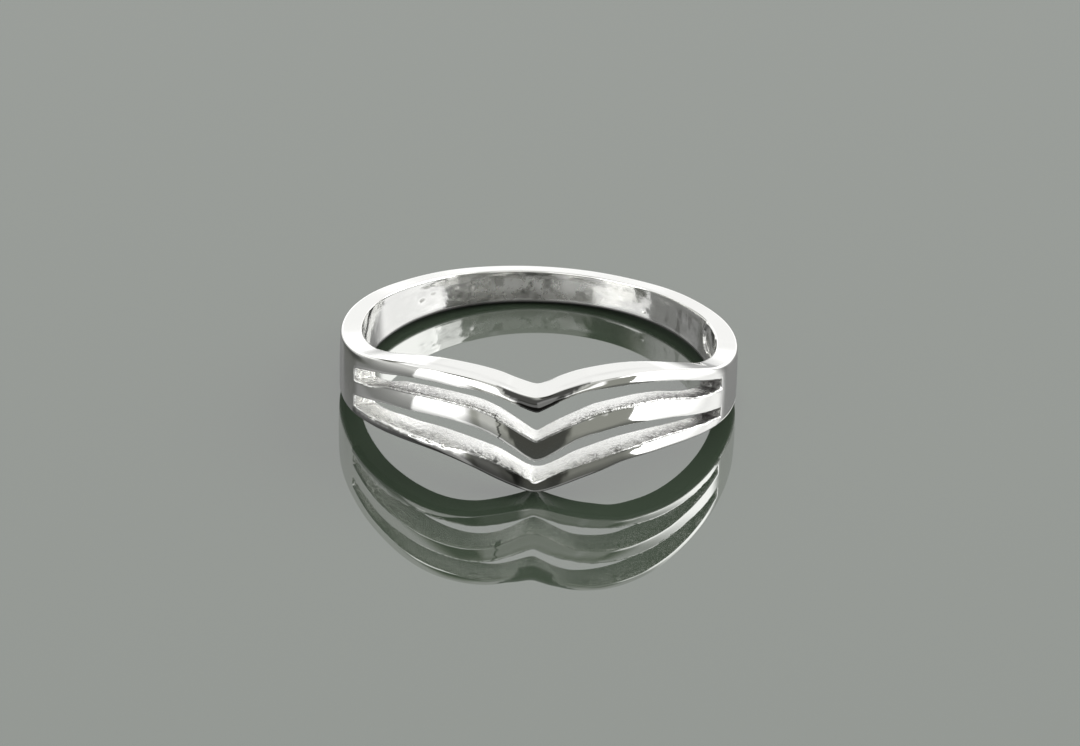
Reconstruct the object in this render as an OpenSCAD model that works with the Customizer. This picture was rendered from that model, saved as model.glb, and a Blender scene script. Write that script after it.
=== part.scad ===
// Chevron ring: a silver band whose front splits into three V-shaped bars with two open slots between them.
// It lies on its side as it rests: the point of the V and the low back edge touch the floor at z = 0.

/* [Band] */
// Diameter of the finger hole
bore_diameter = 17.8; // [17.2:0.1:18.2]
// Diameter of the outside of the band
outer_diameter = 20.0; // [19.8:0.1:20.6]
// How far the outside circle sits forward of the finger hole, which makes the front wall the thick one
outer_forward = 0.25; // [0:0.05:0.35]

/* [Slots] */
// Angle from the front at which both slots end on each side
slot_end_angle = 65; // [56:1:66]

/* [Oval mark] */
// Width of the bare oval inside the right wall
mark_width = 3.0; // [2:0.1:3.4]
// Height of the bare oval
mark_height = 1.5; // [1:0.1:1.6]
// Depth of the bare oval
mark_depth = 0.1; // [0.05:0.05:0.2]
// Angle from the front to the middle of the oval
mark_angle = 101; // [95:1:120]
// Height of the middle of the oval in the band
mark_level = -1.0; // [-1.1:0.05:-0.95]

/* [Hidden] */
bore_radius = bore_diameter / 2;
outer_radius = outer_diameter / 2;
degree_step = 3;
cut_inside = bore_radius - 1.6;
cut_outside = outer_radius + 1.6;

// Heights are along the finger hole's axis, in mm, from the middle of the band's top edge at the back.
// Columns: angle from the front, top edge left, top edge right, bottom edge left, bottom edge right.
ANGLE = 0;
TOP_LEFT = 1;
TOP_RIGHT = 2;
BOTTOM_LEFT = 3;
BOTTOM_RIGHT = 4;
edge_rows = [
    [0, 0.80, 0.80, -4.65, -4.65],
    [3, 0.95, 1.00, -4.40, -4.40],
    [7, 1.15, 1.30, -4.10, -4.10],
    [12, 1.40, 1.55, -3.75, -3.75],
    [18, 1.55, 1.70, -3.35, -3.40],
    [25, 1.60, 1.75, -3.05, -3.00],
    [32, 1.55, 1.65, -2.90, -2.85],
    [40, 1.35, 1.40, -2.85, -2.75],
    [48, 1.05, 1.05, -2.85, -2.75],
    [56, 0.75, 0.65, -2.85, -2.80],
    [65, 0.45, 0.25, -2.90, -2.85],
    [80, 0.20, -0.10, -2.85, -2.85],
    [90, 0.15, -0.15, -2.75, -2.75],
    [105, 0.15, -0.15, -2.50, -2.50],
    [120, 0.15, -0.15, -2.20, -2.20],
    [135, 0.10, -0.10, -1.95, -1.95],
    [150, 0.10, -0.10, -1.80, -1.80],
    [165, 0.05, -0.05, -1.75, -1.75],
    [180, 0.00, 0.00, -1.75, -1.75],
];

// Columns: angle from the front, roof of the upper slot, floor of the upper slot, roof of the lower slot,
// floor of the lower slot at the finger hole, and the same floor at the outside.
UPPER_ROOF = 1;
UPPER_FLOOR = 2;
LOWER_ROOF = 3;
LOWER_FLOOR_IN = 4;
LOWER_FLOOR_OUT = 5;
left_slot_rows = [
    [0, -0.25, -1.65, -2.80, -3.55, -3.90],
    [3, -0.05, -1.35, -2.55, -3.40, -3.60],
    [7, 0.25, -0.95, -2.05, -3.05, -3.25],
    [12, 0.55, -0.50, -1.55, -2.65, -2.90],
    [18, 0.70, -0.20, -1.20, -2.40, -2.60],
    [25, 0.70, -0.10, -1.05, -2.20, -2.50],
    [32, 0.70, -0.10, -1.05, -2.10, -2.40],
    [40, 0.55, -0.20, -1.15, -2.15, -2.30],
    [48, 0.25, -0.40, -1.30, -2.20, -2.30],
    [56, -0.05, -0.80, -1.55, -2.35, -2.35],
    [66, -0.50, -1.10, -1.95, -2.45, -2.45],
];
right_slot_rows = [
    [0, -0.25, -1.65, -2.80, -3.55, -3.90],
    [3, 0.05, -1.35, -2.55, -3.45, -3.65],
    [7, 0.45, -1.00, -2.10, -3.15, -3.30],
    [12, 0.80, -0.65, -1.60, -2.75, -3.00],
    [18, 0.95, -0.30, -1.30, -2.45, -2.70],
    [25, 1.00, -0.15, -1.10, -2.20, -2.40],
    [32, 0.95, -0.10, -1.10, -2.10, -2.20],
    [40, 0.75, -0.20, -1.20, -2.10, -2.10],
    [48, 0.40, -0.50, -1.45, -2.20, -2.15],
    [56, 0.00, -0.80, -1.70, -2.35, -2.30],
    [66, -0.50, -1.05, -2.00, -2.55, -2.50],
];

// A smooth line through one column of a table, read at any angle.
function row_below(rows, angle, i = 0) =
    i >= len(rows) - 2 || angle < rows[i + 1][ANGLE] ? i : row_below(rows, angle, i + 1);
function slope_at(rows, col, i) =
    let(a = max(i - 1, 0), b = min(i + 1, len(rows) - 1))
    (rows[b][col] - rows[a][col]) / (rows[b][ANGLE] - rows[a][ANGLE]);
function smooth(rows, col, angle) =
    let(
        i = row_below(rows, angle),
        span = rows[i + 1][ANGLE] - rows[i][ANGLE],
        u = (angle - rows[i][ANGLE]) / span,
        from = rows[i][col],
        to = rows[i + 1][col],
        leave = slope_at(rows, col, i) * span,
        arrive = slope_at(rows, col, i + 1) * span
    )
    (2 * u * u * u - 3 * u * u + 1) * from + (u * u * u - 2 * u * u + u) * leave
    + (3 * u * u - 2 * u * u * u) * to + (u * u * u - u * u) * arrive;

function top_at(a) = smooth(edge_rows, a < 0 ? TOP_LEFT : TOP_RIGHT, abs(a));
function bottom_at(a) = smooth(edge_rows, a < 0 ? BOTTOM_LEFT : BOTTOM_RIGHT, abs(a));
function slot_at(col, a) = smooth(a < 0 ? left_slot_rows : right_slot_rows, col, abs(a));

// A point at an angle from the front, a distance from the finger hole's axis and a height along it.
function around(angle, radius, height) = [radius * sin(angle), -radius * cos(angle), height];

// How the ring lies: the inner edge of the V's point and the outer back edge both touch the floor.
back_reach = outer_radius - outer_forward;
point_drop = -bottom_at(0);
back_drop = -bottom_at(180);
rest_tilt = atan((point_drop - back_drop) / (back_reach + bore_radius));
rest_lift = back_reach * sin(rest_tilt) + back_drop * cos(rest_tilt);
front_reach = (outer_radius + outer_forward) * cos(rest_tilt) + point_drop * sin(rest_tilt);
rest_shift = (front_reach - back_reach * cos(rest_tilt)) / 2;

// A closed loop of four-sided sections, as wide as the wall and more, between two wavy heights.
module band_envelope() {
    stations = [for (a = [-180:degree_step:180 - degree_step]) a];
    n = len(stations);
    points = [
        for (a = stations) each [
            around(a, cut_inside, bottom_at(a)),
            around(a, cut_outside, bottom_at(a)),
            around(a, cut_outside, top_at(a)),
            around(a, cut_inside, top_at(a)),
        ]
    ];
    faces = [
        for (i = [0:n - 1], k = [0:3])
            let(p = 4 * i, q = 4 * ((i + 1) % n), j = (k + 1) % 4)
            each [[p + k, p + j, q + j], [p + k, q + j, q + k]]
    ];
    polyhedron(points, faces);
}

// A slot is an open run of the same four-sided sections, closed at both ends.
module slot_cutter(roof, floor_in, floor_out) {
    stations = [-slot_end_angle, for (a = [-63:degree_step:63]) if (abs(a) < slot_end_angle - 1) a, slot_end_angle];
    n = len(stations);
    points = [
        for (a = stations) let(
            low_in = slot_at(floor_in, a),
            fall = slot_at(floor_out, a) - low_in,
            per_mm = fall / (outer_radius - bore_radius)
        ) each [
            around(a, cut_inside, low_in - per_mm * (bore_radius - cut_inside)),
            around(a, cut_outside, low_in + per_mm * (cut_outside - bore_radius)),
            around(a, cut_outside, slot_at(roof, a)),
            around(a, cut_inside, slot_at(roof, a)),
        ]
    ];
    sides = [
        for (i = [0:n - 2], k = [0:3])
            let(p = 4 * i, q = 4 * (i + 1), j = (k + 1) % 4)
            each [[p + k, p + j, q + j], [p + k, q + j, q + k]]
    ];
    last = 4 * (n - 1);
    caps = [[2, 1, 0], [3, 2, 0], [last, last + 1, last + 2], [last, last + 2, last + 3]];
    polyhedron(points, concat(sides, caps));
}

// The bare oval: two round ends and the flat between them, cut outward into the wall to an even depth.
module oval_mark() {
    end_radius = mark_height / 2;
    reach = mark_width / 2 - end_radius;
    intersection() {
        translate([0, 0, mark_level - mark_height])
            cylinder(h = 2 * mark_height, r = bore_radius + mark_depth, $fn = 180);
        rotate([0, 0, mark_angle - 90]) translate([bore_radius - 2, 0, mark_level]) rotate([0, 90, 0]) {
            translate([0, -reach, 0]) cylinder(h = 3, r = end_radius, $fn = 48);
            translate([0, reach, 0]) cylinder(h = 3, r = end_radius, $fn = 48);
            translate([-end_radius, -reach, 0]) cube([2 * end_radius, 2 * reach, 3]);
        }
    }
}

// The whole ring is one casting.
module chevron_ring() {
    color([0.78, 0.78, 0.79])
        translate([0, rest_shift, rest_lift]) rotate([-rest_tilt, 0, 0]) difference() {
            intersection() {
                translate([0, -outer_forward, -8]) cylinder(h = 14, r = outer_radius, $fn = 240);
                band_envelope();
            }
            translate([0, 0, -9]) cylinder(h = 16, r = bore_radius, $fn = 240);
            slot_cutter(UPPER_ROOF, UPPER_FLOOR, UPPER_FLOOR);
            slot_cutter(LOWER_ROOF, LOWER_FLOOR_IN, LOWER_FLOOR_OUT);
            oval_mark();
        }
}

chevron_ring();
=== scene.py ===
import math

import bmesh
import bpy
import numpy as np
from mathutils import Matrix, Vector, noise


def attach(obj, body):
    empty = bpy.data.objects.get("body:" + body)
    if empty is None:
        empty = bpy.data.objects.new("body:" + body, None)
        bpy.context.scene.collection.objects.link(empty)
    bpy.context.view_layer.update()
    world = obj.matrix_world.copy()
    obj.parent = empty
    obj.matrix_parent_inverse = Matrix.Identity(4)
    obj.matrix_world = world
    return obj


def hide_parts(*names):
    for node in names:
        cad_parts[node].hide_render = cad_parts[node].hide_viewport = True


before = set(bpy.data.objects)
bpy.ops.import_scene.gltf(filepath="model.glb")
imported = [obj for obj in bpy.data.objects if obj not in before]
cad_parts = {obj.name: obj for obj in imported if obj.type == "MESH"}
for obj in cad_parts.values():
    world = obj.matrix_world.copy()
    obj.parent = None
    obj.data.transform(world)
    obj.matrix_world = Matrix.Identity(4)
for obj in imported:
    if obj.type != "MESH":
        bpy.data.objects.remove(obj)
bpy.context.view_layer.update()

MM = 0.001

# The ring's sizes in millimetres and degrees, as in the part's source
BORE_RADIUS = 8.9
OUTER_RADIUS = 10.0
OUTER_FORWARD = 0.25
SLOT_END = 65.0
MARK_WIDTH = 3.0
MARK_HEIGHT = 1.5
MARK_DEPTH = 0.1
MARK_ANGLE = 101.0
MARK_LEVEL = -1.0

# Heights along the finger hole's axis, from the middle of the band's top edge at the back.
# Columns: angle from the front, top edge left, top edge right, bottom edge left, bottom edge right
TOP_LEFT, TOP_RIGHT, BOTTOM_LEFT, BOTTOM_RIGHT = 1, 2, 3, 4
EDGE_ROWS = np.array([
    (0, 0.80, 0.80, -4.65, -4.65),
    (3, 0.95, 1.00, -4.40, -4.40),
    (7, 1.15, 1.30, -4.10, -4.10),
    (12, 1.40, 1.55, -3.75, -3.75),
    (18, 1.55, 1.70, -3.35, -3.40),
    (25, 1.60, 1.75, -3.05, -3.00),
    (32, 1.55, 1.65, -2.90, -2.85),
    (40, 1.35, 1.40, -2.85, -2.75),
    (48, 1.05, 1.05, -2.85, -2.75),
    (56, 0.75, 0.65, -2.85, -2.80),
    (65, 0.45, 0.25, -2.90, -2.85),
    (80, 0.20, -0.10, -2.85, -2.85),
    (90, 0.15, -0.15, -2.75, -2.75),
    (105, 0.15, -0.15, -2.50, -2.50),
    (120, 0.15, -0.15, -2.20, -2.20),
    (135, 0.10, -0.10, -1.95, -1.95),
    (150, 0.10, -0.10, -1.80, -1.80),
    (165, 0.05, -0.05, -1.75, -1.75),
    (180, 0.00, 0.00, -1.75, -1.75),
])

# Columns: angle, roof and floor of the upper slot, roof of the lower slot, and the lower slot's floor
# at the finger hole and at the outside
UPPER_ROOF, UPPER_FLOOR, LOWER_ROOF, LOWER_FLOOR_IN, LOWER_FLOOR_OUT = 1, 2, 3, 4, 5
LEFT_SLOTS = np.array([
    (0, -0.25, -1.65, -2.80, -3.55, -3.90),
    (3, -0.05, -1.35, -2.55, -3.40, -3.60),
    (7, 0.25, -0.95, -2.05, -3.05, -3.25),
    (12, 0.55, -0.50, -1.55, -2.65, -2.90),
    (18, 0.70, -0.20, -1.20, -2.40, -2.60),
    (25, 0.70, -0.10, -1.05, -2.20, -2.50),
    (32, 0.70, -0.10, -1.05, -2.10, -2.40),
    (40, 0.55, -0.20, -1.15, -2.15, -2.30),
    (48, 0.25, -0.40, -1.30, -2.20, -2.30),
    (56, -0.05, -0.80, -1.55, -2.35, -2.35),
    (66, -0.50, -1.10, -1.95, -2.45, -2.45),
])
RIGHT_SLOTS = np.array([
    (0, -0.25, -1.65, -2.80, -3.55, -3.90),
    (3, 0.05, -1.35, -2.55, -3.45, -3.65),
    (7, 0.45, -1.00, -2.10, -3.15, -3.30),
    (12, 0.80, -0.65, -1.60, -2.75, -3.00),
    (18, 0.95, -0.30, -1.30, -2.45, -2.70),
    (25, 1.00, -0.15, -1.10, -2.20, -2.40),
    (32, 0.95, -0.10, -1.10, -2.10, -2.20),
    (40, 0.75, -0.20, -1.20, -2.10, -2.10),
    (48, 0.40, -0.50, -1.45, -2.20, -2.15),
    (56, 0.00, -0.80, -1.70, -2.35, -2.30),
    (66, -0.50, -1.05, -2.00, -2.55, -2.50),
])

# How the top bar's outer crease sits inside the CAD's square corner, and how much the outer bottom edge
# is rubbed away. Columns: angle, drop of the crease, inset of the crease, rise of the outer bottom edge
CREASE_DROP, CREASE_INSET, BOTTOM_RISE = 1, 2, 3
FINISH_ROWS = np.array([
    (0, 0.42, 0.34, 0.06),
    (3, 0.41, 0.33, 0.03),
    (8, 0.40, 0.30, 0.00),
    (15, 0.34, 0.26, 0.00),
    (28, 0.24, 0.20, 0.00),
    (45, 0.11, 0.10, 0.00),
    (65, 0.04, 0.03, 0.00),
    (100, 0.02, 0.01, 0.00),
    (180, 0.02, 0.01, 0.00),
])

# How far each bar's outer face turns up at its lower and upper edge, in degrees: left, at the V, right
BAR_TURN = (
    ((-30.0, 18.0), (0.0, 12.0), (3.0, 18.0)),
    ((1.0, 14.0), (2.0, 11.0), (5.0, 18.0)),
    ((0.0, 20.0), (2.0, 36.0), (5.0, 24.0)),
)
# How far from the V, in degrees, each bar's turn starts and stops changing
BAR_BLEND = ((14.0, 34.0), (6.0, 20.0), (6.0, 20.0))
# The top bar's lower edge turns up this much more a little way off the V
TOP_BAR_FLARE = 14.0
FLARE_FADE_LEFT = (16.0, 28.0)
FLARE_FADE_RIGHT = (11.0, 22.0)
DOME_DEPTH = 0.03


def smoothstep(low, high, value):
    t = np.clip((np.asarray(value, float) - low) / (high - low), 0.0, 1.0)
    return t * t * (3.0 - 2.0 * t)


def smooth(rows, column, angle):
    """A smooth line through one column of a table, read at any angle."""
    x = rows[:, 0]
    y = rows[:, column]
    angle = np.asarray(angle, float)
    slopes = np.empty(len(x))
    slopes[1:-1] = (y[2:] - y[:-2]) / (x[2:] - x[:-2])
    slopes[0] = (y[1] - y[0]) / (x[1] - x[0])
    slopes[-1] = (y[-1] - y[-2]) / (x[-1] - x[-2])
    i = np.clip(np.searchsorted(x, angle, side="right") - 1, 0, len(x) - 2)
    span = x[i + 1] - x[i]
    u = (angle - x[i]) / span
    return ((2 * u**3 - 3 * u**2 + 1) * y[i] + (u**3 - 2 * u**2 + u) * slopes[i] * span
            + (3 * u**2 - 2 * u**3) * y[i + 1] + (u**3 - u**2) * slopes[i + 1] * span)


def sided(angle, rows_left, column_left, rows_right, column_right, round_v):
    """A value left and right of the V, whose point is rounded over about round_v degrees."""
    angle = np.asarray(angle, float)
    turn = np.minimum(np.sqrt(angle**2 + round_v**2), 180.0)
    side = smoothstep(-2.0, 2.0, angle)
    on_left = smooth(rows_left, column_left, turn)
    return on_left + (smooth(rows_right, column_right, turn) - on_left) * side


def top_at(angle, round_v=1.3):
    return sided(angle, EDGE_ROWS, TOP_LEFT, EDGE_ROWS, TOP_RIGHT, round_v)


def bottom_at(angle, round_v=0.0):
    return sided(angle, EDGE_ROWS, BOTTOM_LEFT, EDGE_ROWS, BOTTOM_RIGHT, round_v)


# How many degrees the V of each slot wall is rounded over
SLOT_V = {1: 0.8, 2: 0.4, 3: 0.7, 4: 1.6, 5: 0.5}


def slot_at(column, angle):
    limit = LEFT_SLOTS[-1, 0] - 0.5
    return sided(np.clip(angle, -limit, limit), LEFT_SLOTS, column, RIGHT_SLOTS, column, SLOT_V[column])


def finish_at(column, angle):
    return smooth(FINISH_ROWS, column, np.abs(angle))


def outside_at(angle):
    """Distance from the finger hole's axis to the outside circle."""
    t = np.radians(angle)
    return OUTER_FORWARD * np.cos(t) + np.sqrt(OUTER_RADIUS**2 - (OUTER_FORWARD * np.sin(t))**2)


# How the ring lies: the inner edge of the V's point and the outer back edge both touch the floor
back_reach = OUTER_RADIUS - OUTER_FORWARD
point_drop = -float(bottom_at(0.0))
back_drop = -float(bottom_at(180.0))
rest_tilt = math.atan((point_drop - back_drop) / (back_reach + BORE_RADIUS))
rest_lift = back_reach * math.sin(rest_tilt) + back_drop * math.cos(rest_tilt)
front_reach = (OUTER_RADIUS + OUTER_FORWARD) * math.cos(rest_tilt) + point_drop * math.sin(rest_tilt)
rest_shift = (front_reach - back_reach * math.cos(rest_tilt)) / 2


def to_row_frame(angle, radius, height):
    t = np.radians(angle)
    x = radius * np.sin(t)
    y = -radius * np.cos(t)
    c, s = math.cos(rest_tilt), math.sin(rest_tilt)
    return np.stack([x, c * y + s * height + rest_shift, -s * y + c * height + rest_lift], -1)


def from_row_frame(points):
    x = points[:, 0]
    y = points[:, 1] - rest_shift
    z = points[:, 2] - rest_lift
    c, s = math.cos(rest_tilt), math.sin(rest_tilt)
    ring_y = c * y - s * z
    ring_z = s * y + c * z
    return np.degrees(np.arctan2(x, -ring_y)), np.hypot(x, ring_y), ring_z


# Mesh resolution: rows up each bar and slot, and columns through the wall
BAR_ROWS = (5, 6, 5)
SLOT_ROWS = 5
WALL_COLUMNS = 8
# Degrees between cross-sections: across the slots, at the scar, round the back, and at the oval
SLOT_STEP = 0.5
FINE_STEP = 0.25
FINE_SPAN = (-14.0, -10.0)
BACK_STEP = 0.6
MARK_STEP = 0.5
MARK_SPAN = 13.0
# Room that the rows at the back leave for the rounding of the band's edges
EDGE_ROOM = 0.12

# Widths of the rounded edges in millimetres. The crease has its own width at the V, the sides and the back
WIDEST = 0.12
ROUND_CREASE, CREASE_WIDER, CREASE_THINNER = 0.07, 0.03, 0.02
ROUND_INNER_TOP = 0.08
ROUND_INNER_BOTTOM = 0.07
ROUND_OUTER_BOTTOM = 0.08
ROUND_SLOT = 0.045
ROUND_FLOOR_LEFT = 0.08
ROUND_ROOF_OUTSIDE = 0.02


def stations():
    """Angles of the cross-sections: the ones across the slots, then the others round the back."""
    even = np.round(np.arange(-SLOT_END, SLOT_END + 0.01, SLOT_STEP), 3)
    fine = np.round(np.arange(*FINE_SPAN, FINE_STEP), 3)
    front = sorted(set(even) | set(fine))
    back = []
    far_end = 360.0 - SLOT_END
    a = SLOT_END
    while a < far_end - 0.01:
        a += MARK_STEP if abs(a - MARK_ANGLE) < MARK_SPAN else BACK_STEP
        back.append(min(a, far_end))
    back = [b for b in back if b < far_end - BACK_STEP / 2]
    return [float(v) for v in front], [float(b - 360.0) if b > 180.0 else float(b) for b in back]


def spread(low, high, parts):
    return [low + (high - low) * k / parts for k in range(parts + 1)]


def bar_inset(bar, angle, rise, height):
    """How far a bar's rounded face lies inside the outside circle, at a height above its lower edge."""
    w = float(smoothstep(*BAR_BLEND[bar], abs(angle)))
    left, at_v, right = BAR_TURN[bar]
    at_side = left if angle < 0 else right
    low, high = (v + (b - v) * w for v, b in zip(at_v, at_side))
    if bar == 2:
        fade = FLARE_FADE_LEFT if angle < 0 else FLARE_FADE_RIGHT
        flare = smoothstep(4.0, 8.0, abs(angle)) * (1.0 - smoothstep(*fade, abs(angle)))
        low += TOP_BAR_FLARE * float(flare)
    low, high = math.tan(math.radians(low)), math.tan(math.radians(high))
    start = 0.5 * low**2 / (high - low) * height if low < 0 else 0.0
    return start + low * rise + (high - low) * rise**2 / (2 * height)


def clear_of_edges(rows, turn):
    """At the low back, the rows next to the band's edges are moved out of the edges' rounding."""
    low, first, last, high = rows[0][1], rows[1][1], rows[-2][1], rows[-1][1]
    new_first = max(first, low + EDGE_ROOM)
    new_last = min(last, high - EDGE_ROOM)
    scale = (new_last - new_first) / (last - first)
    w = float(smoothstep(85.0, 120.0, turn))
    middle = [(r, z + w * (new_first + (z - first) * scale - z)) for r, z in rows[1:-1]]
    return [rows[0], *middle, rows[-1]]


def outer_profile(a):
    """Rows up the outside from the bottom edge to the crease: (radius, height), with the slots' rows too."""
    turn = abs(a)
    rim = outside_at(a)
    low = float(bottom_at(a, 2.4)) + float(finish_at(BOTTOM_RISE, a))
    high = float(top_at(a, 2.6)) - float(finish_at(CREASE_DROP, a))
    inset = float(finish_at(CREASE_INSET, a))
    near = max(-SLOT_END, min(SLOT_END, a)) if turn <= SLOT_END else math.copysign(SLOT_END, a)
    ends_low = float(bottom_at(near))
    ends_high = float(top_at(near))
    marks = [float(slot_at(c, near)) for c in (LOWER_FLOOR_OUT, LOWER_ROOF, UPPER_FLOOR, UPPER_ROOF)]
    if turn <= SLOT_END:
        levels = [low, *marks, high]
    else:
        even = np.cumsum([0, BAR_ROWS[0], SLOT_ROWS, BAR_ROWS[1], SLOT_ROWS, BAR_ROWS[2]])
        even = even / even[-1]
        seen = (np.array([ends_low, *marks, ends_high]) - ends_low) / (ends_high - ends_low)
        w = smoothstep(SLOT_END, 120.0, turn)
        share = seen * (1 - w) + even * w
        levels = list(low + share * (high - low))
    rows = []
    parts = (BAR_ROWS[0], SLOT_ROWS, BAR_ROWS[1], SLOT_ROWS, BAR_ROWS[2])
    lean = 1.0 - smoothstep(40.0, 62.0, turn)
    for k, n in enumerate(parts):
        rows_here = spread(levels[k], levels[k + 1], n)
        for j, z in enumerate(rows_here if k == 0 else rows_here[1:], 0 if k == 0 else 1):
            share = (z - low) / (high - low)
            dome = DOME_DEPTH * (2 * share - 1)**2
            bar = dome
            if k % 2 == 0:
                bar = bar_inset(k // 2, a, z - levels[k], levels[k + 1] - levels[k])
            if k == 4:
                dome = dome + inset * smoothstep(0.6, 1.0, j / n)
            rows.append((rim - (lean * bar + (1 - lean) * dome), z))
    return clear_of_edges(rows, turn)


def inner_profile(a, outer):
    """The same rows up the finger hole's wall."""
    low = float(bottom_at(a))
    high = float(top_at(a))
    if abs(a) <= SLOT_END:
        marks = [float(slot_at(c, a)) for c in (LOWER_FLOOR_IN, LOWER_ROOF, UPPER_FLOOR, UPPER_ROOF)]
    else:
        o_low, o_high = outer[0][1], outer[-1][1]
        at = np.cumsum([BAR_ROWS[0], SLOT_ROWS, BAR_ROWS[1], SLOT_ROWS])
        marks = [low + (outer[i][1] - o_low) / (o_high - o_low) * (high - low) for i in at]
        if abs(a) < SLOT_END + 6:
            near = math.copysign(SLOT_END, a)
            w = smoothstep(SLOT_END, SLOT_END + 6, abs(a))
            ends = [float(slot_at(c, near)) for c in (LOWER_FLOOR_IN, LOWER_ROOF, UPPER_FLOOR, UPPER_ROOF)]
            marks = [m * w + e * (1 - w) for m, e in zip(marks, ends)]
    levels = [low, *marks, high]
    parts = (BAR_ROWS[0], SLOT_ROWS, BAR_ROWS[1], SLOT_ROWS, BAR_ROWS[2])
    rows = [(BORE_RADIUS, low)]
    for k, n in enumerate(parts):
        rows += [(BORE_RADIUS, z) for z in spread(levels[k], levels[k + 1], n)[1:]]
    return clear_of_edges(rows, abs(a))


def build_ring_mesh():
    """The whole casting as one closed surface of quads, with the weights of its rounded edges."""
    front, back = stations()
    ring = front + back
    n_front = len(front)
    n_outer = sum(BAR_ROWS) + 2 * SLOT_ROWS + 1
    edge_rows = np.cumsum([0, BAR_ROWS[0], SLOT_ROWS, BAR_ROWS[1], SLOT_ROWS, BAR_ROWS[2]])
    bars = [(edge_rows[0], edge_rows[1]), (edge_rows[2], edge_rows[3]), (edge_rows[4], edge_rows[5])]
    slots = [(edge_rows[1], edge_rows[2]), (edge_rows[3], edge_rows[4])]
    points = []
    faces = []
    weights = {}

    def add(a, radius, height):
        points.append((a, radius, height))
        return len(points) - 1

    def across(a, start, end):
        """Points between an inner and an outer corner, corners included as they are."""
        (i0, r0, z0), (i1, r1, z1) = start, end
        middle = [add(a, r0 + (r1 - r0) * k / WALL_COLUMNS, z0 + (z1 - z0) * k / WALL_COLUMNS)
                  for k in range(1, WALL_COLUMNS)]
        return [i0, *middle, i1]

    columns = []
    for s, a in enumerate(ring):
        outer = outer_profile(a)
        inner = inner_profile(a, outer)
        in_slots = 0 < s < n_front - 1
        open_rows = {j for lo, hi in slots for j in range(lo + 1, hi)} if in_slots else set()
        out_ids = [None if j in open_rows else add(a, *outer[j]) for j in range(n_outer)]
        in_ids = [None if j in open_rows else add(a, *inner[j]) for j in range(n_outer)]

        def corner(ids, rows, j):
            return ids[j], rows[j][0], rows[j][1]

        def wall(j):
            return across(a, corner(in_ids, inner, j), corner(out_ids, outer, j))

        column = {"out": out_ids, "in": in_ids, "wall": {0: wall(0), n_outer - 1: wall(n_outer - 1)}}
        if s < n_front:
            for lo, hi in slots:
                column["wall"][lo] = wall(lo)
                column["wall"][hi] = wall(hi)
        columns.append(column)

    def quad(a, b, c, d):
        faces.append((a, b, c, d))

    def strip(first, second):
        for k in range(len(first) - 1):
            quad(first[k], second[k], second[k + 1], first[k + 1])

    count = len(ring)
    for s in range(count):
        here, there = columns[s], columns[(s + 1) % count]
        spans = bars if s < n_front - 1 else [(0, n_outer - 1)]
        for lo, hi in spans:
            strip(here["out"][lo:hi + 1], there["out"][lo:hi + 1])
            strip(here["in"][lo:hi + 1], there["in"][lo:hi + 1])
            strip(here["wall"][lo], there["wall"][lo])
            strip(here["wall"][hi], there["wall"][hi])
    for s in (0, n_front - 1):
        a = ring[s]
        here = columns[s]
        for lo, hi in slots:
            previous = here["wall"][lo]
            low_pts = [points[i] for i in previous]
            high_pts = [points[i] for i in here["wall"][hi]]
            for j in range(1, hi - lo):
                u = j / (hi - lo)
                middle = []
                for k in range(1, WALL_COLUMNS):
                    middle.append(add(a, low_pts[k][1] * (1 - u) + high_pts[k][1] * u,
                                      low_pts[k][2] * (1 - u) + high_pts[k][2] * u))
                current = [here["in"][lo + j], *middle, here["out"][lo + j]]
                strip(previous, current)
                previous = current
            strip(previous, here["wall"][hi])

    # Edge weights, in units of the widest rounding
    def mark(i, j, width):
        weights[(min(i, j), max(i, j))] = width / WIDEST

    for s in range(count):
        here, there = columns[s], columns[(s + 1) % count]
        turn = abs(ring[s])
        back_thin = smoothstep(65.0, 130.0, turn)
        crease = ROUND_CREASE + CREASE_WIDER * smoothstep(8.0, 40.0, turn) - CREASE_THINNER * back_thin
        mark(here["out"][n_outer - 1], there["out"][n_outer - 1], crease)
        mark(here["in"][n_outer - 1], there["in"][n_outer - 1], ROUND_INNER_TOP)
        mark(here["in"][0], there["in"][0], ROUND_INNER_BOTTOM)
        mark(here["out"][0], there["out"][0], ROUND_OUTER_BOTTOM)
        if s < n_front - 1:
            for j in (edge_rows[1], edge_rows[3]):
                mark(here["out"][j], there["out"][j], ROUND_FLOOR_LEFT if ring[s] < 0 else ROUND_SLOT)
                mark(here["in"][j], there["in"][j], ROUND_SLOT)
            for j in (edge_rows[2], edge_rows[4]):
                mark(here["out"][j], there["out"][j], ROUND_ROOF_OUTSIDE)
                mark(here["in"][j], there["in"][j], ROUND_SLOT)
    for s in (0, n_front - 1):
        here = columns[s]
        for lo, hi in slots:
            for j in range(lo, hi):
                mark(here["out"][j], here["out"][j + 1], ROUND_SLOT)
                mark(here["in"][j], here["in"][j + 1], ROUND_SLOT)
            for j in (lo, hi):
                run = here["wall"][j]
                for k in range(len(run) - 1):
                    mark(run[k], run[k + 1], ROUND_SLOT)
    return points, faces, weights


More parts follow.
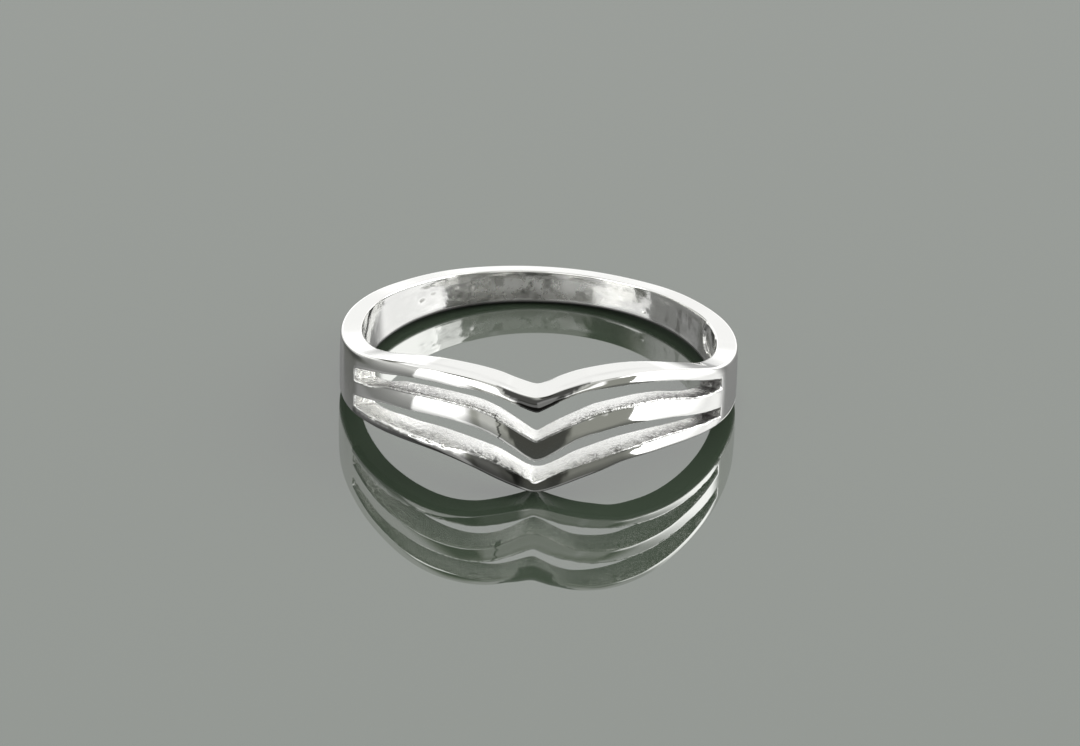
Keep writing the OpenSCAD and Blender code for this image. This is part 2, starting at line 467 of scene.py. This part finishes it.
def ring_object():
    points, faces, weights = build_ring_mesh()
    table = np.array(points)
    place = to_row_frame(table[:, 0], table[:, 1], table[:, 2]) * MM
    mesh = bpy.data.meshes.new("chevron_ring_cage")
    mesh.from_pydata([tuple(p) for p in place], [], faces)
    mesh.validate()
    bm = bmesh.new()
    bm.from_mesh(mesh)
    bmesh.ops.recalc_face_normals(bm, faces=bm.faces)
    layer = bm.edges.layers.float.new("bevel_weight_edge")
    bm.verts.ensure_lookup_table()
    for edge in bm.edges:
        i, j = edge.verts[0].index, edge.verts[1].index
        edge[layer] = weights.get((min(i, j), max(i, j)), 0.0)
        edge.smooth = True
    for face in bm.faces:
        face.smooth = True
    open_edges = sum(1 for e in bm.edges if len(e.link_faces) != 2)
    print("cage", len(bm.verts), "points", len(bm.faces), "faces", open_edges, "open edges")
    bm.to_mesh(mesh)
    bm.free()
    cage = bpy.data.objects.new("chevron_ring_cage", mesh)
    bpy.context.scene.collection.objects.link(cage)
    rounding = cage.modifiers.new("rounding", "BEVEL")
    rounding.limit_method = "WEIGHT"
    rounding.offset_type = "OFFSET"
    rounding.width = WIDEST * MM
    rounding.segments = 3
    rounding.use_clamp_overlap = False
    rounding.loop_slide = True
    graph = bpy.context.evaluated_depsgraph_get()
    final = bpy.data.meshes.new_from_object(cage.evaluated_get(graph))
    final.name = "ring_body"
    bpy.data.objects.remove(cage)
    bpy.data.meshes.remove(mesh)
    body = bpy.data.objects.new("ring_body", final)
    bpy.context.scene.collection.objects.link(body)
    return body


def wave(points, scale, seed):
    """Smooth noise from about -1 to 1, with features about scale millimetres wide."""
    shift = Vector((seed * 7.3, seed * 3.1, seed * 5.7))
    return np.array([noise.noise(Vector(p) / scale + shift) for p in points])


def bump_at(angle, height, at_angle, at_height, size):
    """A round hill of height 1 on the wall, size millimetres wide."""
    along = np.radians(angle - at_angle) * BORE_RADIUS
    return np.exp(-(along**2 + (height - at_height)**2) / (2 * (size / 2)**2))


# Pits in the finger hole's wall. Columns: angle, height, width, depth
PITS = (
    (-137.0, -0.75, 0.32, 0.030),
    (-141.5, -0.60, 0.22, 0.012),
    (-158.0, -0.70, 0.22, 0.016),
    (-176.0, -0.55, 0.30, 0.018),
    (176.0, -0.95, 0.25, 0.014),
    (143.0, -1.30, 0.25, 0.016),
)

# The scar across the middle bar
SCAR_ANGLE = -10.6
SCAR_LEVEL = -1.2
SCAR_LEAN = 1.2
SCAR_WAVER = 5.0


def detail(body):
    """Unevenness in the shape, and the masks that the material reads."""
    mesh = body.data
    n = len(mesh.vertices)
    co = np.empty(n * 3)
    mesh.vertices.foreach_get("co", co)
    co = co.reshape(-1, 3) / MM
    angle, radius, height = from_row_frame(co)
    turn = np.abs(angle)
    rim = outside_at(angle)
    from_inside = radius - BORE_RADIUS
    from_outside = rim - radius
    in_slots = turn < SLOT_END + 0.4
    upper_roof = slot_at(UPPER_ROOF, angle)
    upper_floor = slot_at(UPPER_FLOOR, angle)
    lower_roof = slot_at(LOWER_ROOF, angle)
    across = np.clip(from_inside / (rim - BORE_RADIUS), 0, 1)
    lower_floor = slot_at(LOWER_FLOOR_IN, angle) * (1 - across) + slot_at(LOWER_FLOOR_OUT, angle) * across
    near = 0.10
    is_floor = in_slots & ((np.abs(height - upper_floor) < near) | (np.abs(height - lower_floor) < near))
    is_roof = in_slots & ((np.abs(height - upper_roof) < near) | (np.abs(height - lower_roof) < near))
    in_upper = (height > upper_floor - near) & (height < upper_roof + near)
    in_lower = (height > lower_floor - near) & (height < lower_roof + near)
    is_end = in_slots & (turn > SLOT_END - 0.4) & (in_upper | in_lower)
    inside_wall = smoothstep(0.0, 0.05, from_inside) * smoothstep(0.05, 0.11, from_outside)
    cast = np.where(is_floor | is_roof | is_end, 1.0, 0.0) * inside_wall
    low_edge, high_edge = bottom_at(angle), top_at(angle)
    inner = 1.0 - smoothstep(0.0, 0.04, from_inside)
    clear = smoothstep(0.20, 0.52, high_edge - height) * smoothstep(0.10, 0.30, height - low_edge)

    # As-cast slot walls, rougher towards the outside and at the slots' ends
    grain = 0.55 * wave(co, 0.17, 1) + 0.45 * wave(co, 0.42, 2)
    blobs = wave(co, 0.30, 3)
    off_bore = smoothstep(0.0, 0.25, from_inside)
    ends = smoothstep(54.0, 62.0, turn)
    amount = 0.022 + 0.030 * across + 0.035 * ends
    apex_calm = 0.55 + 0.45 * smoothstep(3.0, 9.0, turn)
    height = height + np.where(is_floor, grain * amount * apex_calm, 0.0) * off_bore
    height = height + np.where(is_roof, grain * 0.02, 0.0) * off_bore
    angle = angle + np.degrees(np.where(is_end, (blobs + 0.4 * grain) * 0.07, 0.0) * off_bore / radius)

    # A worn outer edge on each slot floor, lower than the rest in places
    edge = smoothstep(0.55, 0.95, across) * is_floor
    nibble = np.clip(wave(co, 0.55, 7) + 0.25 * wave(co, 0.2, 8), 0, 1)
    height = height - edge * (0.01 + 0.08 * nibble) * smoothstep(2.0, 6.0, turn) * (1 - ends)

    # The scar across the middle bar's outer face: the metal right of it stands a little proud
    scar = smoothstep(0.60, 0.75, across) * (height < upper_floor + 0.02) * (height > lower_roof - 0.02)
    off = (angle - SCAR_ANGLE + SCAR_LEAN * (height - SCAR_LEVEL)) * np.radians(1.0) * radius
    lump = scar * smoothstep(0.0, 0.08, off) * (1 - smoothstep(0.5, 1.1, off))
    radius = radius - 0.003 * lump * (1 + wave(co, 0.35, 11))
    scar = scar * (turn < 20.0)

    # Painted shade under the crease of the top bar at the V, standing for a dark reflection, wide at the
    # point and tapering to both sides
    crease = high_edge - finish_at(CREASE_DROP, angle)
    share = (height - upper_roof) / (crease - upper_roof)
    taper = np.where(angle < 0, (-angle - 4.8) / 6.5, (angle - 6.3) / 8.5)
    edge_noise = 0.22 * wave(co, 0.28, 12) + 0.12 * wave(co, 0.12, 13)
    painted_shade_and_tarnish = smoothstep(-0.12, 0.12, share - np.clip(taper, -0.3, 1.3) + edge_noise)
    painted_shade_and_tarnish = painted_shade_and_tarnish * smoothstep(0.50, 0.62, across) * (1 - smoothstep(-0.02, 0.04, height - crease))
    painted_shade_and_tarnish = painted_shade_and_tarnish * (height > upper_roof - 0.01) * (turn < 25.0)

    # The bottom bar gets painted shade where it would mirror the shaded floor: its lower half at the left,
    # all of it near the V, and less to the right
    bar_share = (height - low_edge) / (slot_at(LOWER_FLOOR_OUT, angle) - low_edge) + 0.7 * edge_noise
    low_half = 0.85 * (1 - smoothstep(0.50, 0.74, bar_share))
    low_half = np.maximum(low_half, smoothstep(-21.5, -17.0, angle)) * (angle < 0)
    to_right = 0.40 * smoothstep(0.0, 4.0, angle) * (1 - smoothstep(24.0, 28.0, angle))
    painted_bar_shade = np.maximum(low_half, to_right) * smoothstep(0.60, 0.75, across) * smoothstep(2.0, 5.0, turn)
    painted_bar_shade = painted_bar_shade * (1 - smoothstep(0.96, 1.04, bar_share)) * (turn < 66.0)

    # Sandy grey on the slot floors: the upper left one, and the outer half of both towards the right end
    on_upper = is_floor & (np.abs(height - upper_floor) < 0.25)
    sandy_left = smoothstep(22.0, 38.0, turn) * np.where(on_upper, 1.0, 0.10) * (1 - ends) * (angle < 0)
    sandy_right = smoothstep(26.0, 42.0, turn) * smoothstep(0.10, 0.45, across) * (angle > 0)
    # gleam is a painted highlight strip near the right end of the upper slot, kept clear of the grey and the
    # painted shade
    gleam = smoothstep(56.0, 57.0, turn) * (1 - smoothstep(59.0, 60.5, turn)) * on_upper * (angle > 0)
    tone = cast * np.maximum(sandy_left, np.maximum(sandy_right, ends * (angle > 0))) * (1 - gleam)
    smoother = is_floor & (height < upper_floor - 0.25) & (angle < 0) & (ends < 0.3)
    gritty = cast * np.where(smoother, 0.4, 1.0 - 0.25 * (angle < 0)) * (1 - 0.45 * ends * (angle < 0))
    # Painted shade in the right ends of the slots
    painted_shade_and_tarnish = np.maximum(painted_shade_and_tarnish, 0.5 * cast * ends * (angle > 0) * (1 - gleam))

    # Slow unevenness of the polished faces
    hollow = inner * clear
    at_back = np.maximum(smoothstep(148.0, 158.0, turn) * (angle < 0), smoothstep(158.0, 167.0, turn))
    streaked = hollow * smoothstep(104.0, 119.0, angle) * (1 - smoothstep(134.0, 140.0, angle))
    radius = radius + hollow * (0.010 * wave(co, 1.3, 4) + (0.004 + 0.008 * at_back) * wave(co, 0.5, 5))
    outer = (1.0 - smoothstep(0.0, 0.30, from_outside)) * (1 - cast)
    radius = radius - outer * 0.004 * (1 + wave(co, 1.3, 6))
    ragged = outer * (1.0 - smoothstep(10.0, 18.0, turn))
    radius = radius - ragged * 0.004 * (1 + wave(co, 0.32, 10))
    for at_angle, at_height, size, depth in PITS:
        radius = radius + hollow * depth * bump_at(angle, height, at_angle, at_height, size)

    # The bare oval: a flat floor inside a narrow raised rim
    along = np.radians(angle - MARK_ANGLE) * BORE_RADIUS
    straight = MARK_WIDTH / 2 - MARK_HEIGHT / 2
    past = np.clip(np.abs(along) - straight, 0, None)
    to_edge = MARK_HEIGHT / 2 - np.hypot(past, height - MARK_LEVEL)
    sunk = smoothstep(-0.02, 0.13, to_edge)
    lip = np.exp(-((to_edge + 0.07) / 0.06)**2)
    radius = radius + inner * (MARK_DEPTH * sunk - 0.06 * lip)
    # A dark line of tarnish in the oval's groove
    painted_shade_and_tarnish = np.maximum(painted_shade_and_tarnish, 0.8 * inner * np.exp(-((to_edge - 0.05) / 0.05)**2))

    # A dark wedge of painted reflection on the finger hole's wall at the left, wide at the bottom
    share = (height - low_edge) / (high_edge - low_edge)
    wedge = smoothstep(105.5, 108.5, turn - 9.0 * share) * (1 - smoothstep(115.0, 120.0, turn + 3.0 * share))
    wedge = wedge * (1 - smoothstep(0.75, 1.0, share)) * (angle < 0)
    painted_shade_and_tarnish = np.maximum(painted_shade_and_tarnish, 0.45 * inner * wedge)

    # A fine painted reflection line, dark grey, along the top face of the front
    flat_top = smoothstep(0.12, 0.20, from_inside) * (height > high_edge - 0.30)
    flat_top = flat_top * (1 - smoothstep(50.0, 62.0, turn))
    line = flat_top * np.exp(-((from_inside - 0.80) / 0.05)**2) * smoothstep(4.0, 12.0, turn)

    placed = to_row_frame(angle, radius, height) * MM
    mesh.vertices.foreach_set("co", placed.ravel())

    # Painted shade along the bottom edge, next to the floor
    low_back = (1 - smoothstep(0.08, 0.22, height - low_edge)) * smoothstep(70.0, 95.0, turn)
    below = (1 - smoothstep(0.0, 0.05, height - low_edge)) * smoothstep(0.08, 0.20, from_outside)
    low_line = (1 - smoothstep(0.04, 0.10, height - low_edge)) * smoothstep(0.60, 0.75, across)
    low_line = low_line * (turn < 66.0)
    painted_edge_shade = np.maximum(np.maximum(low_back, below), 0.8 * low_line)
    masks = {
        "across": across,
        "turn": angle / 180.0,
        "level": height,
        "cast": cast,
        "ends": cast * ends,
        "gritty": gritty,
        "tone": tone,
        "inner": hollow,
        "back": hollow * at_back,
        "streaked": streaked,
        "line": line,
        "scar": scar,
        "painted_bar_shade": painted_bar_shade,
        "painted_shade_and_tarnish": painted_shade_and_tarnish,
        "painted_edge_shade": painted_edge_shade,
    }
    for name, values in masks.items():
        layer = mesh.attributes.new(name, "FLOAT", "POINT")
        layer.data.foreach_set("value", np.asarray(values, np.float32))
    mesh.update()
    print("ring", n, "points", sum(len(p.vertices) - 2 for p in mesh.polygons), "triangles")


def node(tree, kind, **settings):
    made = tree.nodes.new(kind)
    for key, value in settings.items():
        setattr(made, key, value)
    return made


def math_node(tree, operation, *values):
    made = node(tree, "ShaderNodeMath", operation=operation)
    for k, value in enumerate(values):
        if hasattr(value, "links"):
            tree.links.new(value, made.inputs[k])
        else:
            made.inputs[k].default_value = value
    return made.outputs[0]


def soft_step(tree, value, low, high):
    made = node(tree, "ShaderNodeMapRange", interpolation_type="SMOOTHSTEP")
    made.inputs["From Min"].default_value = low
    made.inputs["From Max"].default_value = high
    tree.links.new(value, made.inputs["Value"])
    return made.outputs["Result"]


def fac(tree, name):
    return node(tree, "ShaderNodeAttribute", attribute_name=name).outputs["Fac"]


def noise_node(tree, vector, scale, detail=3.0, rough=0.5):
    made = node(tree, "ShaderNodeTexNoise")
    made.inputs["Scale"].default_value = scale
    made.inputs["Detail"].default_value = detail
    made.inputs["Roughness"].default_value = rough
    tree.links.new(vector, made.inputs["Vector"])
    return made.outputs["Fac"]


def mix_colour(tree, amount, first, second):
    made = node(tree, "ShaderNodeMix", data_type="RGBA")
    tree.links.new(amount, made.inputs["Factor"])
    for socket, value in ((made.inputs[6], first), (made.inputs[7], second)):
        if hasattr(value, "links"):
            tree.links.new(value, socket)
        else:
            socket.default_value = (*value, 1)
    return made.outputs[2]


SILVER = (0.95, 0.95, 0.925)


def silver_material():
    material = bpy.data.materials.new("polished_silver")
    material.use_nodes = True
    tree = material.node_tree
    tree.nodes.clear()
    out = node(tree, "ShaderNodeOutputMaterial")
    shader = node(tree, "ShaderNodeBsdfPrincipled")
    tree.links.new(shader.outputs[0], out.inputs["Surface"])
    shader.inputs["Metallic"].default_value = 1.0
    place = node(tree, "ShaderNodeTexCoord").outputs["Object"]
    cast, inner, across, ends = (fac(tree, name) for name in ("cast", "inner", "across", "ends"))
    turn, level = fac(tree, "turn"), fac(tree, "level")

    # Inside the band: cloudy patches and dark stains at the back, with painted shade towards the bottom, and
    # streaks along the axis on the right
    aside = math_node(tree, "ABSOLUTE", turn)
    back = fac(tree, "back")
    cloud = soft_step(tree, noise_node(tree, place, 900.0, 4.0, 0.6), 0.42, 0.60)
    stains_and_low_shade = soft_step(tree, noise_node(tree, place, 1500.0, 4.0, 0.65), 0.50, 0.60)
    # Painted shade on the lower part of the wall
    painted_low_shade = math_node(tree, "SUBTRACT", 1.0, soft_step(tree, level, -1.45, -0.80))
    stains_and_low_shade = math_node(tree, "MAXIMUM", stains_and_low_shade, painted_low_shade)
    ring_place = node(tree, "ShaderNodeCombineXYZ")
    tree.links.new(math_node(tree, "MULTIPLY", turn, 28.0), ring_place.inputs[0])
    tree.links.new(math_node(tree, "MULTIPLY", level, 0.35), ring_place.inputs[1])
    streak = soft_step(tree, noise_node(tree, ring_place.outputs[0], 2.2, 2.0), 0.50, 0.66)
    dull = math_node(tree, "MULTIPLY", back, cloud)
    dark = math_node(tree, "MAXIMUM", math_node(tree, "MULTIPLY", back, stains_and_low_shade),
                     math_node(tree, "MULTIPLY", fac(tree, "streaked"), streak))

    # Dark specks between the grains of the as-cast slot walls, most in a band along the outer edge
    specks = soft_step(tree, noise_node(tree, place, 6500.0, 3.0, 0.7), 0.46, 0.58)
    off_point = soft_step(tree, aside, 0.03, 0.075)
    band = math_node(tree, "MULTIPLY", soft_step(tree, across, 0.40, 0.72), off_point)
    patchy = soft_step(tree, noise_node(tree, place, 700.0, 2.0), 0.32, 0.48)
    speckled = math_node(tree, "MULTIPLY", math_node(tree, "MULTIPLY", specks, band), patchy)
    speckled = math_node(tree, "MAXIMUM", speckled, math_node(tree, "MULTIPLY", specks, ends))
    speckled = math_node(tree, "MULTIPLY", speckled, fac(tree, "gritty"))

    # A greyer, sandy tone in parts of the slots
    sandy = soft_step(tree, noise_node(tree, place, 3200.0, 3.0, 0.7), 0.36, 0.54)
    tone = math_node(tree, "MULTIPLY", fac(tree, "tone"), sandy)

    # The scar's thin ragged line, in degrees from the V, wavering with height
    height_only = node(tree, "ShaderNodeCombineXYZ")
    tree.links.new(level, height_only.inputs[2])
    waver = math_node(tree, "SUBTRACT", noise_node(tree, height_only.outputs[0], 2.6, 2.0, 0.5), 0.5)
    off = math_node(tree, "MULTIPLY_ADD", turn, 180.0, -SCAR_ANGLE)
    above = math_node(tree, "SUBTRACT", level, SCAR_LEVEL)
    off = math_node(tree, "MULTIPLY_ADD", above, SCAR_LEAN, off)
    off = math_node(tree, "MULTIPLY_ADD", waver, SCAR_WAVER, off)
    off = math_node(tree, "ABSOLUTE", off)
    scar = math_node(tree, "SUBTRACT", 1.0, soft_step(tree, off, 0.05, 0.50))
    scar = math_node(tree, "MULTIPLY", scar, fac(tree, "scar"))

    # Each layer: its mask, its strength and its colour
    layers = (
        (dark, 0.55, (0.30, 0.295, 0.27)),
        (fac(tree, "line"), 0.5, (0.45, 0.45, 0.44)),
        (tone, 0.75, (0.42, 0.41, 0.40)),
        (speckled, 0.8, (0.20, 0.195, 0.185)),
        (fac(tree, "painted_bar_shade"), 0.95, (0.15, 0.15, 0.145)),
        (scar, 0.85, (0.10, 0.098, 0.095)),
        (fac(tree, "painted_shade_and_tarnish"), 0.95, (0.07, 0.07, 0.067)),
        (fac(tree, "painted_edge_shade"), 0.9, (0.035, 0.035, 0.033)),
    )
    colour = SILVER
    for mask, strength, tint in layers:
        colour = mix_colour(tree, math_node(tree, "MULTIPLY", mask, strength), colour, tint)
    tree.links.new(colour, shader.inputs["Base Color"])

    rough = math_node(tree, "MULTIPLY_ADD", cast, 0.18, 0.06)
    rough = math_node(tree, "MULTIPLY_ADD", ends, -0.08, rough)
    rough = math_node(tree, "MULTIPLY_ADD", inner, 0.05, rough)
    rough = math_node(tree, "MULTIPLY_ADD", dull, 0.26, rough)
    rough = math_node(tree, "MULTIPLY_ADD", fac(tree, "painted_edge_shade"), 0.45, rough)
    tree.links.new(rough, shader.inputs["Roughness"])

    grains = math_node(tree, "MULTIPLY", noise_node(tree, place, 5200.0, 4.0, 0.7),
                       math_node(tree, "MULTIPLY_ADD", ends, 2.0, cast))
    ripple = math_node(tree, "MULTIPLY", noise_node(tree, place, 900.0, 2.0), 0.35)
    hammer = math_node(tree, "MULTIPLY", inner, 0.25)
    hammer = math_node(tree, "MULTIPLY", noise_node(tree, place, 1400.0, 3.0), hammer)
    bump = node(tree, "ShaderNodeBump")
    bump.inputs["Distance"].default_value = 0.00005
    bump.inputs["Strength"].default_value = 1.0
    tree.links.new(math_node(tree, "ADD", math_node(tree, "MULTIPLY_ADD", ripple, 0.10, grains), hammer),
                   bump.inputs["Height"])
    tree.links.new(bump.outputs["Normal"], shader.inputs["Normal"])
    return material


FLOOR_REACH = 3.0


def floor_object():
    """A plain pale floor with a mirror finish. The ring's own polish sees a darker sheet."""
    signs = ((-1, -1), (1, -1), (1, 1), (-1, 1))
    corners = [(FLOOR_REACH * x, FLOOR_REACH * y, 0.0) for x, y in signs]
    mesh = bpy.data.meshes.new("floor")
    mesh.from_pydata(corners, [], [(0, 1, 2, 3)])
    floor = bpy.data.objects.new("floor", mesh)
    bpy.context.scene.collection.objects.link(floor)
    material = bpy.data.materials.new("pale_floor")
    material.use_nodes = True
    tree = material.node_tree
    shader = tree.nodes["Principled BSDF"]
    shader.inputs["Base Color"].default_value = (0.05, 0.07, 0.047, 1)
    shader.inputs["Roughness"].default_value = 0.0
    shader.inputs["IOR"].default_value = 2.4
    sheet = node(tree, "ShaderNodeBsdfPrincipled")
    sheet.inputs["Base Color"].default_value = (0.05, 0.053, 0.05, 1)
    sheet.inputs["Roughness"].default_value = 0.03
    sheet.inputs["IOR"].default_value = 2.3
    path = node(tree, "ShaderNodeLightPath")
    pick = node(tree, "ShaderNodeMixShader")
    tree.links.new(path.outputs["Is Glossy Ray"], pick.inputs[0])
    tree.links.new(shader.outputs[0], pick.inputs[1])
    tree.links.new(sheet.outputs[0], pick.inputs[2])
    tree.links.new(pick.outputs[0], tree.nodes["Material Output"].inputs["Surface"])
    mesh.materials.append(material)
    return floor


# Beside the ring, the floor's mirror finish sees one even brightness, so it looks plain from every side.
# The backdrop has an even brightness too
FLOOR_SEES = 1.6
BACKDROP = 0.45
ROOM_LIGHT = 0.07
# Dim walls are a little warmer than the bright cards
DIM_LIGHT = (0.785, 0.80, 0.705)
FULL_LIGHT = (0.8, 0.8, 0.8)


def studio_world():
    """Soft studio light from all round, told by direction: azimuth from the front, positive to the right."""
    world = bpy.data.worlds.new("soft_studio")
    bpy.context.scene.world = world
    world.use_nodes = True
    tree = world.node_tree
    tree.nodes.clear()
    out = node(tree, "ShaderNodeOutputWorld")
    back = node(tree, "ShaderNodeBackground")
    tree.links.new(back.outputs[0], out.inputs["Surface"])
    direction = node(tree, "ShaderNodeTexCoord").outputs["Generated"]
    split = node(tree, "ShaderNodeSeparateXYZ")
    tree.links.new(direction, split.inputs[0])
    x, y, z = split.outputs
    azimuth = math_node(tree, "ARCTAN2", x, math_node(tree, "MULTIPLY", y, -1.0))
    azimuth = math_node(tree, "DEGREES", azimuth)
    elevation = math_node(tree, "DEGREES", math_node(tree, "ARCSINE", z))

    def between(value, low, high, soft_low, soft_high):
        rise = soft_step(tree, value, low - soft_low / 2, low + soft_low / 2)
        past = soft_step(tree, value, high - soft_high / 2, high + soft_high / 2)
        return math_node(tree, "MULTIPLY", rise, math_node(tree, "SUBTRACT", 1.0, past))

    above = math_node(tree, "MAXIMUM", elevation, 0.0)

    def patch(az, el, strength, az_soft=(4, 4), el_soft=(4, 4), lean=0.0):
        """A soft-edged bright field. Its sides lean over, by lean degrees for each degree up."""
        along = math_node(tree, "SUBTRACT", azimuth, math_node(tree, "MULTIPLY", above, lean))
        shape = math_node(tree, "MULTIPLY", between(along, *az, *az_soft), between(elevation, *el, *el_soft))
        return math_node(tree, "MULTIPLY", shape, strength)

    # A white card behind, white overhead, dimmer walls, and two bright boxes at the front
    turned = math_node(tree, "ABSOLUTE", azimuth)
    rear_right = soft_step(tree, azimuth, 124.0, 142.0)
    rear_left = soft_step(tree, azimuth, -158.0, -172.0)
    rear = math_node(tree, "MAXIMUM", rear_right, rear_left)
    behind = math_node(tree, "MULTIPLY", soft_step(tree, elevation, -6.0, -2.0), rear)
    high = soft_step(tree, elevation, 22.0, 28.0)
    high = math_node(tree, "MULTIPLY", high, soft_step(tree, turned, 60.0, 100.0))
    dip = patch((-152, -128), (0, 30), 0.55, (6, 6), (4, 6))
    high = math_node(tree, "MULTIPLY", high, math_node(tree, "SUBTRACT", 1.0, dip))
    high = math_node(tree, "MULTIPLY", high, 1.1)
    top = math_node(tree, "MULTIPLY", soft_step(tree, elevation, 58.0, 82.0), 0.7)
    level = math_node(tree, "MAXIMUM", high, top)
    level = math_node(tree, "MAXIMUM", level, math_node(tree, "MULTIPLY", behind, 1.12))
    fields = (
        patch((-46, -8), (-10, 16), 0.34, (12, 4), (20, 6)),
        patch((12, 62), (-10, 26), 0.26, (6, 4), (20, 10)),
        patch((34, 62), (26, 66), 0.6, (10, 10), (10, 10)),
        patch((-28, -15), (-10, 20), 0.22, (4, 4), (20, 8)),
        patch((-46, -4), (13, 38), 1.7, (6, 6), (4, 6)),
        patch((-4, 34), (16, 29), 1.2, (6, 6), (4, 6)),
        patch((-36, 36), (32, 66), 0.6, (8, 8), (8, 8)),
        patch((-74, -41), (-10, 37), 3.2, (2, 18), (4, 9)),
        patch((52, 115), (-10, 48), 4.2, (2, 14), (4, 18), 0.6),
        patch((59, 80), (40, 52), 3.4, (2, 10), (6, 12)),
        patch((-118, -74), (-10, 30), 0.7, (24, 2), (20, 14)),
        patch((-160, -118), (3, 18), 1.05, (10, 16), (4, 5)),
        patch((112, 146), (3, 18), 0.8, (10, 10), (4, 5)),
        patch((-174, -150), (0, 20), 0.45, (6, 10), (4, 8)),
        patch((112, 200), (-2, 8), 0.42, (20, 4), (4, 8)),
        patch((-200, -118), (-2, 8), 0.42, (4, 16), (4, 8)),
    )
    for field in fields:
        level = math_node(tree, "ADD", level, field)
    level = math_node(tree, "ADD", level, ROOM_LIGHT)
    path = node(tree, "ShaderNodeLightPath")
    for ray, plain in (("Is Singular Ray", FLOOR_SEES), ("Is Camera Ray", BACKDROP)):
        seen = node(tree, "ShaderNodeMix", data_type="FLOAT")
        tree.links.new(path.outputs[ray], seen.inputs[0])
        tree.links.new(level, seen.inputs[2])
        seen.inputs[3].default_value = plain
        level = seen.outputs[0]
    tree.links.new(level, back.inputs["Strength"])
    tint = mix_colour(tree, soft_step(tree, level, 0.1, 1.0), DIM_LIGHT, FULL_LIGHT)
    tree.links.new(tint, back.inputs["Color"])
    return world


# The camera stands where the photograph was taken from
CAMERA_ELEVATION = 30.5
CAMERA_DISTANCE = 350.0
CAMERA_ROLL = 1.724
AIM = (0.0, 0.456, 0.0)
LENS = 231.3
SHIFT_RIGHT = 0.00216
SHIFT_UP = 0.0162


def photo_camera():
    data = bpy.data.cameras.new("camera")
    data.sensor_width = 36.0
    data.lens = LENS
    data.shift_x = SHIFT_RIGHT
    data.shift_y = SHIFT_UP
    data.clip_start = 0.01
    data.clip_end = 10.0
    camera = bpy.data.objects.new("camera", data)
    bpy.context.scene.collection.objects.link(camera)
    rise = math.radians(CAMERA_ELEVATION)
    back = Vector((0, -math.cos(rise), math.sin(rise)))
    camera.location = (Vector(AIM) + back * CAMERA_DISTANCE) * MM
    upright = (-back).to_track_quat("-Z", "Y").to_matrix()
    camera.rotation_euler = (upright @ Matrix.Rotation(math.radians(CAMERA_ROLL), 3, "Z")).to_euler()
    bpy.context.scene.camera = camera
    return camera


scene = bpy.context.scene
scene.view_settings.view_transform = "Standard"
photo_camera()
studio_world()
floor_object()
ring = ring_object()
detail(ring)
ring.data.materials.clear()
ring.data.materials.append(silver_material())
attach(ring, "root")
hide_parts("chevron_ring")
